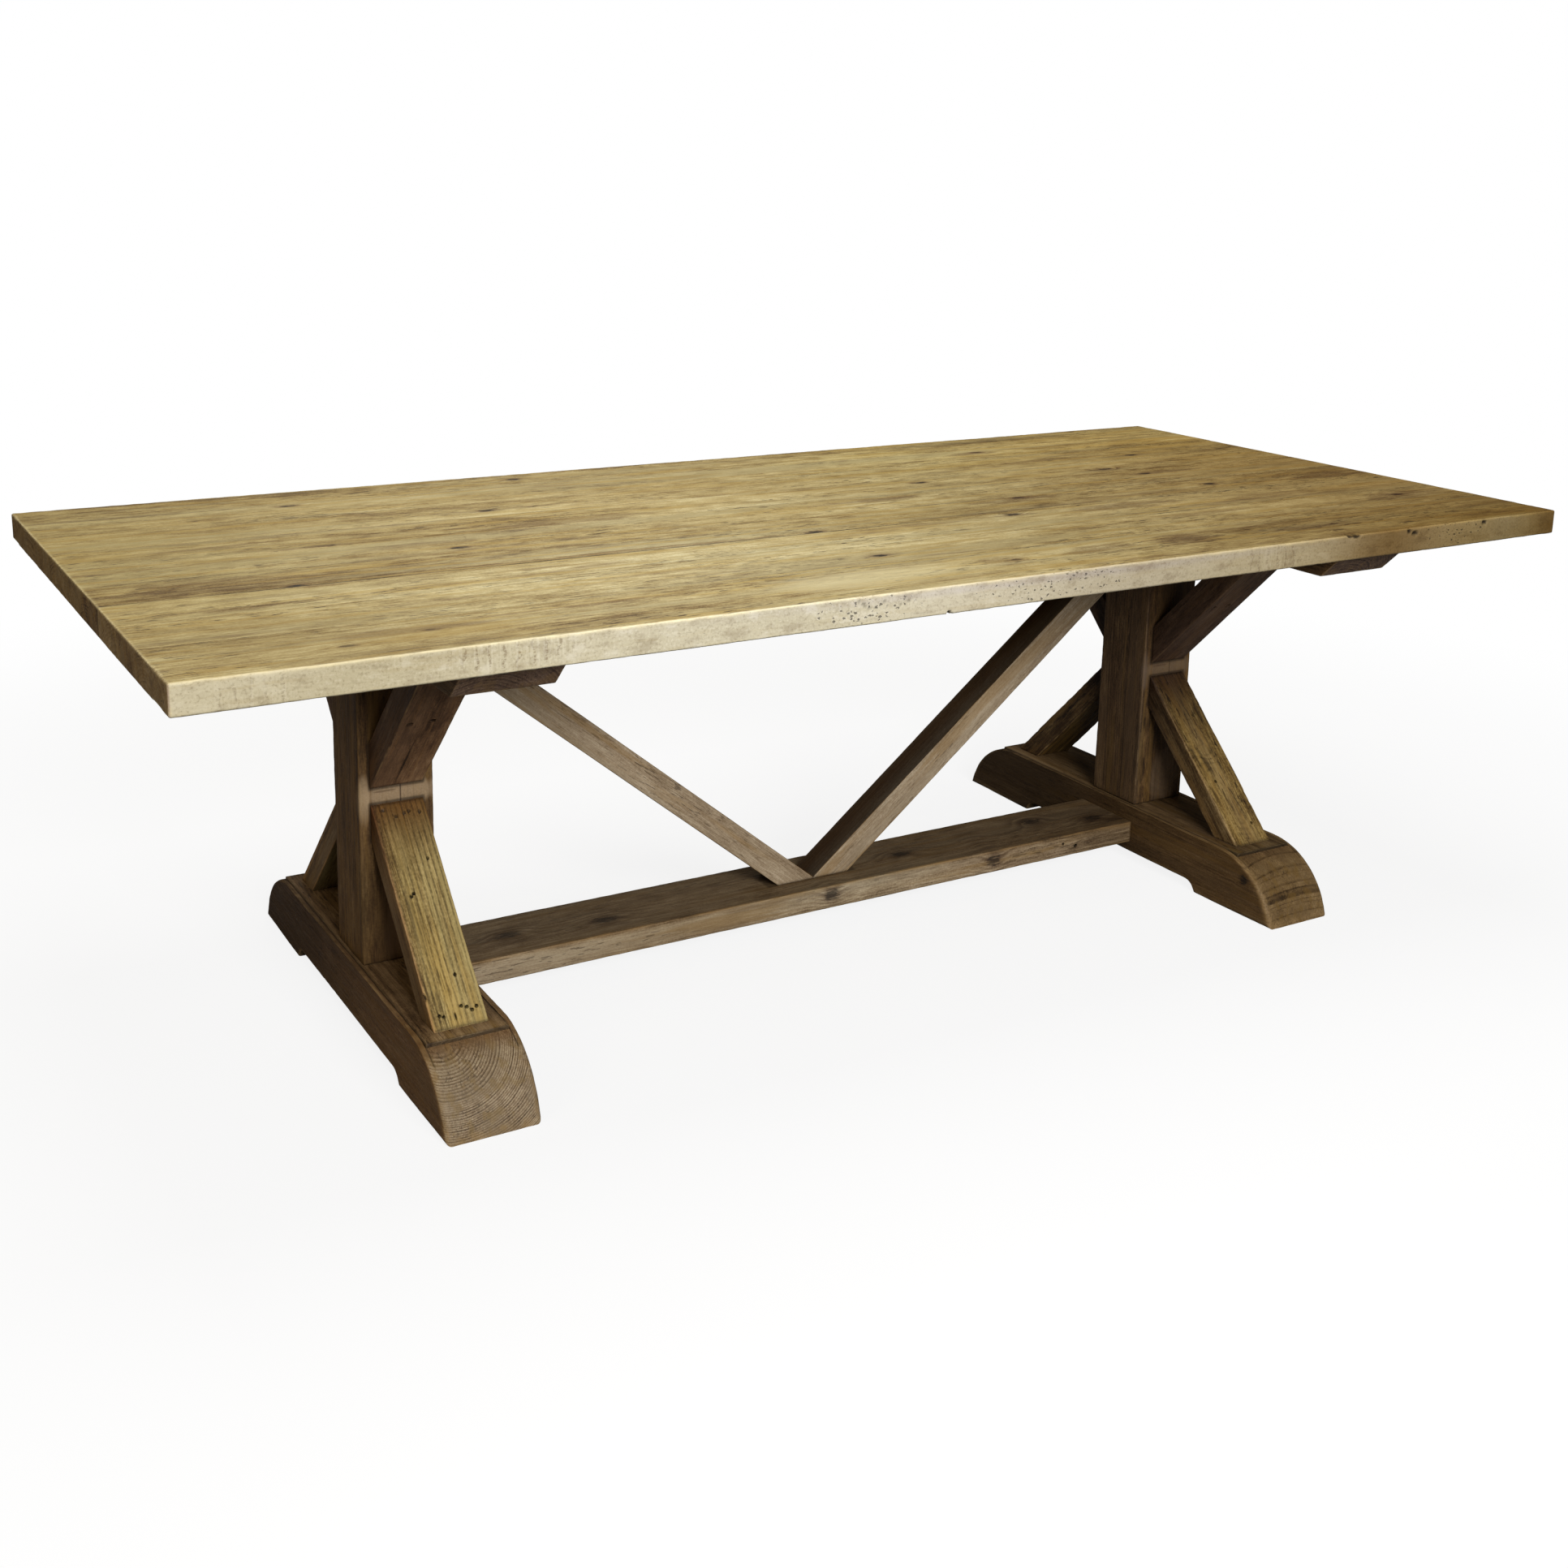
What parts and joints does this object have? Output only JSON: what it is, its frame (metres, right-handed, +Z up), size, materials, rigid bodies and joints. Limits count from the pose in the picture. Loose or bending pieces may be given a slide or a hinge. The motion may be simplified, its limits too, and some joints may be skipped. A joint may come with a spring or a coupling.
{
  "type": "trestle dining table",
  "caption": "Long rectangular dining table of reclaimed pine boards on a pair of braced post-and-foot trestles, tied by a low flat stretcher with slanted stretcher braces.",
  "frame": {"origin": "on the floor, below the middle of the top", "axes": "+X along the top to the right, +Y from the front edge to the back edge, +Z up"},
  "size_m": [2.46, 1.1, 0.75],
  "materials": {
    "top_wood": "waxed",
    "trestle_wood": "waxed",
    "foot_wood": "waxed",
    "brace_wood": "waxed",
    "stretcher_wood": "waxed",
    "joinery_wood": "sawn",
    "screw_steel": "dark zinc"
  },
  "bodies": {
    "root": {"top_board_1": "top_wood", "top_board_2": "top_wood", "top_board_3": "top_wood", "top_board_4": "top_wood", "top_board_5": "top_wood", "top_board_6": "top_wood", "top_board_7": "top_wood", "top_board_8": "top_wood", "top_board_9": "top_wood", "top_tongue_1": "joinery_wood", "top_tongue_2": "joinery_wood", "top_tongue_3": "joinery_wood", "top_tongue_4": "joinery_wood", "top_tongue_5": "joinery_wood", "top_tongue_6": "joinery_wood", "top_tongue_7": "joinery_wood", "top_tongue_8": "joinery_wood", "left_bearer": "trestle_wood", "left_post": "trestle_wood", "left_foot": "foot_wood", "left_foot_plate": "foot_wood", "left_front_upper_brace": "trestle_wood", "left_front_lower_brace": "brace_wood", "left_back_upper_brace": "trestle_wood", "left_back_lower_brace": "brace_wood", "left_stretcher_brace": "stretcher_wood", "right_bearer": "trestle_wood", "right_post": "trestle_wood", "right_foot": "foot_wood", "right_foot_plate": "foot_wood", "right_front_upper_brace": "trestle_wood", "right_front_lower_brace": "brace_wood", "right_back_upper_brace": "trestle_wood", "right_back_lower_brace": "brace_wood", "right_stretcher_brace": "stretcher_wood", "stretcher": "stretcher_wood", "left_brace_screws": "screw_steel", "left_bearer_screws": "screw_steel", "right_brace_screws": "screw_steel", "right_bearer_screws": "screw_steel", "stretcher_brace_screws": "screw_steel", "left_brace_dowels": "joinery_wood", "right_brace_dowels": "joinery_wood", "stretcher_brace_dowels": "joinery_wood"}
  },
  "joints": []
}
